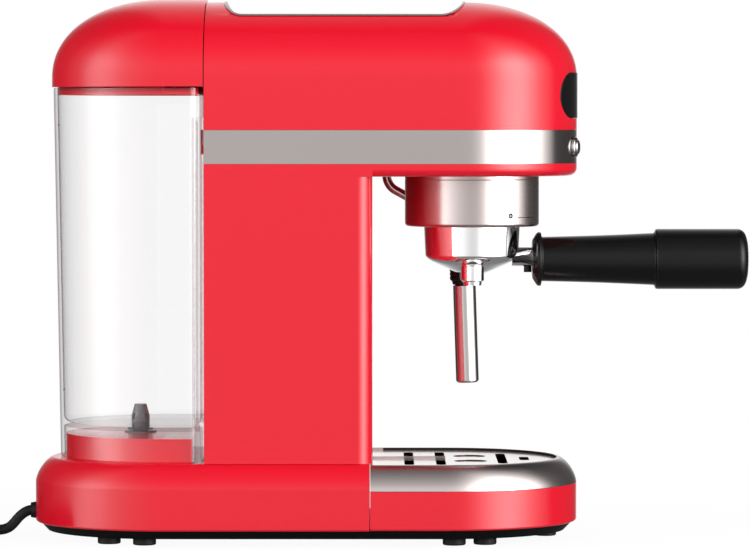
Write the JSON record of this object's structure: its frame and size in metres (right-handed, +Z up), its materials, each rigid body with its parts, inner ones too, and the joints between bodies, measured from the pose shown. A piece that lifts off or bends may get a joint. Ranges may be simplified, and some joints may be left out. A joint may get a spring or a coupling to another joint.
{
  "type": "espresso machine",
  "caption": "Slim pump espresso machine with a domed red body, steel cup-warmer scoop, bayonet group with a black-handled portafilter, steam wand, rear water tank and drip tray.",
  "frame": {"origin": "on the counter under the middle of the base's length, in the symmetry plane of the body", "axes": "front (display, portafilter and drip tray) towards -Y, the user's right towards +X, up is +Z"},
  "size_m": [0.1623, 0.5205, 0.307],
  "materials": {
    "red_enamel": "gloss",
    "black_plastic": "satin",
    "black_gloss": "gloss",
    "rubber": "matte",
    "steel": "brushed",
    "steel_gloss": "polished",
    "chrome": "polished",
    "alloy": "cast",
    "brass": "machined",
    "clear": "clear",
    "grey_plastic": "satin",
    "silicone": "matte",
    "board": "satin",
    "zinc": "zinc plated"
  },
  "bodies": {
    "machine": {"base_housing": "red_enamel", "bottom_plate": "black_plastic", "rubber_feet": "rubber", "housing_screws": "zinc", "cord_gland": "black_plastic", "body_housing": "red_enamel", "rear_panel": "red_enamel", "steel_band": "steel_gloss", "head_cover": "red_enamel", "cup_plate": "steel", "display_panel": "black_gloss", "control_board": "board", "button_bezels": "chrome", "button_switches": "black_plastic", "group_housing": "steel", "group_head": "alloy", "group_gasket": "rubber", "shower_screen": "chrome", "shower_screw": "chrome", "wand_socket": "black_plastic", "steam_valve": "brass", "tank_inlet": "black_plastic", "thermoblock": "alloy", "pump": "black_plastic", "pump_bracket": "zinc", "suction_hose": "silicone", "pressure_hose": "silicone", "steam_pipe": "steel", "power_cord": "rubber", "cord_coil": "rubber", "cord_tail": "rubber", "plug": "black_plastic"},
    "tank": {"water_tank": "clear", "valve_body": "grey_plastic"},
    "tank_valve": {"valve_plunger": "grey_plastic", "valve_spring": "steel"},
    "lid": {"tank_lid": "red_enamel"},
    "tray": {"drip_tray": "red_enamel", "tray_surround": "steel_gloss"},
    "grille": {"drip_grille": "steel_gloss"},
    "portafilter": {"portafilter_bowl": "chrome", "filter_basket": "steel", "twin_spout": "chrome", "handle_grip": "black_plastic", "handle_screw": "black_plastic"},
    "steam_wand": {"wand_tube": "chrome", "wand_collar": "rubber"},
    "frother": {"frother_sleeve": "chrome"},
    "steam_control": {"steam_knob": "black_plastic", "valve_spindle": "brass"},
    "coffee_cap": {"coffee_button": "chrome"},
    "steam_cap": {"steam_button": "chrome"}
  },
  "joints": [
    {"name": "portafilter_turn", "type": "hinge", "parent": "machine", "child": "portafilter", "pos_m": [0, -0.095, 0.18], "axis": [0, 0, 1], "range_deg": [-45, 0]},
    {"name": "tank_lift", "type": "slide", "parent": "machine", "child": "tank", "axis": [0, 0, 1], "range_m": [0, 0.175]},
    {"name": "valve_push", "type": "slide", "parent": "tank", "child": "tank_valve", "axis": [0, 0, 1], "range_m": [0, 0.0016], "stiffness_N_per_m": 60, "springref_m": -0.002},
    {"name": "lid_lift", "type": "slide", "parent": "tank", "child": "lid", "axis": [0, 0, 1], "range_m": [0, 0.05]},
    {"name": "tray_pull", "type": "slide", "parent": "machine", "child": "tray", "axis": [0, -1, 0], "range_m": [0, 0.125]},
    {"name": "grille_lift", "type": "slide", "parent": "tray", "child": "grille", "axis": [0, 0, 1], "range_m": [0, 0.012]},
    {"name": "wand_swivel", "type": "hinge", "parent": "machine", "child": "steam_wand", "pos_m": [0.048, -0.0463, 0.2], "axis": [0, 0, 1], "range_deg": [0, 80]},
    {"name": "sleeve_pull", "type": "slide", "parent": "steam_wand", "child": "frother", "axis": [0, -0.0332, -0.9995], "range_m": [0, 0.018]},
    {"name": "steam_knob_turn", "type": "hinge", "parent": "machine", "child": "steam_control", "pos_m": [0.07, -0.0463, 0.24735], "axis": [1, 0, 0], "range_deg": [0, 270]},
    {"name": "coffee_button_push", "type": "slide", "parent": "machine", "child": "coffee_cap", "axis": [0.2672, 0.9636, 0], "range_m": [0, 0.001], "stiffness_N_per_m": 400},
    {"name": "steam_button_push", "type": "slide", "parent": "machine", "child": "steam_cap", "axis": [-0.2672, 0.9636, 0], "range_m": [0, 0.001], "stiffness_N_per_m": 400}
  ]
}
